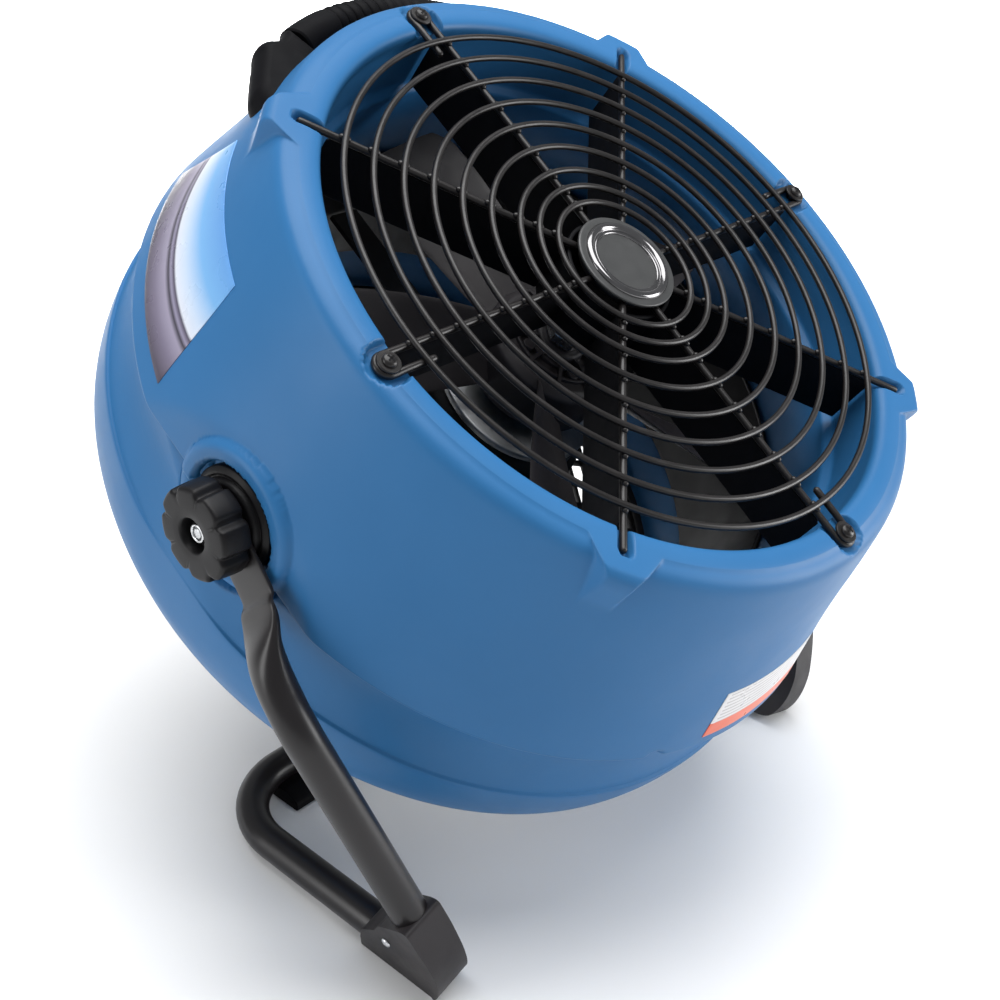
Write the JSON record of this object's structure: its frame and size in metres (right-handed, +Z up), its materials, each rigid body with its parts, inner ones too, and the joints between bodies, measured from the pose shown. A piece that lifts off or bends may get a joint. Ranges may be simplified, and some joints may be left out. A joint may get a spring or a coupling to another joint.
{
  "type": "axial air mover",
  "caption": "Round axial air mover in a moulded two-part housing that tilts on a bent tube stand, with wire outlet grille, carrying handle and side clamp knobs.",
  "frame": {"origin": "middle of the bounding box, on the floor", "axes": "+Z up; the outlet faces -Y and upwards at 56 degrees, so -Y is the front; +X is the right-hand side seen from the outlet"},
  "size_m": [0.6092, 0.5816, 0.5797],
  "materials": {
    "blue_shell": "satin, lightly grained sky blue",
    "black_moulding": "satin black",
    "black_wire": "black powder coat",
    "hub_disc": "dark grey enamel with a shiny bead",
    "grey_moulding": "dark grey, slightly rough",
    "bright_steel": "zinc plated",
    "motor_steel": "black enamel",
    "motor_aluminium": "cast",
    "black_rubber": "matt",
    "printed_film": "printed film",
    "black_tube": "black enamel with a faint brown sheen"
  },
  "bodies": {
    "stand": {"stand_tube": "black_tube", "front_boot_left": "grey_moulding", "front_boot_right": "grey_moulding", "boot_rivet_left": "bright_steel", "boot_rivet_right": "bright_steel", "rear_foot_left": "black_rubber", "rear_foot_right": "black_rubber"},
    "housing": {"front_shell": "blue_shell", "rear_shell": "blue_shell", "duct_ring": "black_moulding", "vane_hub": "black_moulding", "straightening_vane_1": "black_moulding", "straightening_vane_2": "black_moulding", "straightening_vane_3": "black_moulding", "straightening_vane_4": "black_moulding", "straightening_vane_5": "black_moulding", "straightening_vane_6": "black_moulding", "straightening_vane_7": "black_moulding", "straightening_vane_8": "black_moulding", "inlet_grille": "black_moulding", "control_plate": "black_moulding", "cord_gland": "black_moulding", "run_capacitor": "black_moulding", "friction_disc_left": "black_moulding", "friction_disc_right": "black_moulding", "outlet_grille": "black_wire", "grille_screw_1": "black_wire", "grille_screw_2": "black_wire", "grille_screw_3": "black_wire", "grille_screw_4": "black_wire", "grille_hub_plate": "hub_disc", "front_bearing": "bright_steel", "rear_bearing": "bright_steel", "shell_screw_1": "bright_steel", "shell_screw_2": "bright_steel", "shell_screw_3": "bright_steel", "shell_screw_4": "bright_steel", "handle_bar": "bright_steel", "stator_can": "motor_steel", "motor_mount": "motor_steel", "front_end_shield": "motor_aluminium", "rear_end_shield": "motor_aluminium", "handle_grip": "black_rubber", "handle_boot_left": "black_rubber", "handle_boot_right": "black_rubber", "side_decal": "printed_film", "rating_label": "printed_film"},
    "rotor": {"propeller": "grey_moulding", "motor_shaft": "bright_steel", "propeller_nut": "bright_steel", "rotor_core": "motor_steel"},
    "knob_left": {"clamp_knob_left": "black_moulding", "clamp_bolt_left": "bright_steel"},
    "knob_right": {"clamp_knob_right": "black_moulding", "clamp_bolt_right": "bright_steel"},
    "rocker": {"speed_rocker": "black_moulding"},
    "breaker": {"breaker_button": "black_moulding"}
  },
  "joints": [
    {"name": "housing_tilt", "type": "hinge", "parent": "stand", "child": "housing", "pos_m": [0, -0.01796, 0.327], "axis": [-1, 0, 0], "range_deg": [-146, 64]},
    {"name": "propeller_spin", "type": "hinge", "parent": "housing", "child": "rotor", "pos_m": [0, -0.01464, 0.32924], "axis": [0, 0.5592, -0.829], "continuous": true},
    {"name": "knob_turn_left", "type": "hinge", "parent": "stand", "child": "knob_left", "pos_m": [-0.28, -0.01796, 0.327], "axis": [-1, 0, 0], "range_deg": [0, 360]},
    {"name": "knob_turn_right", "type": "hinge", "parent": "stand", "child": "knob_right", "pos_m": [0.28, -0.01796, 0.327], "axis": [1, 0, 0], "range_deg": [0, 360]},
    {"name": "rocker_tip", "type": "hinge", "parent": "housing", "child": "rocker", "pos_m": [-0.014, 0.27475, 0.40502], "axis": [0, 0.5592, -0.829], "range_deg": [-8, 8]},
    {"name": "breaker_press", "type": "slide", "parent": "housing", "child": "breaker", "axis": [0, -0.829, -0.5592], "range_m": [0, 0.003], "stiffness_N_per_m": 200, "springref_m": -0.002}
  ]
}
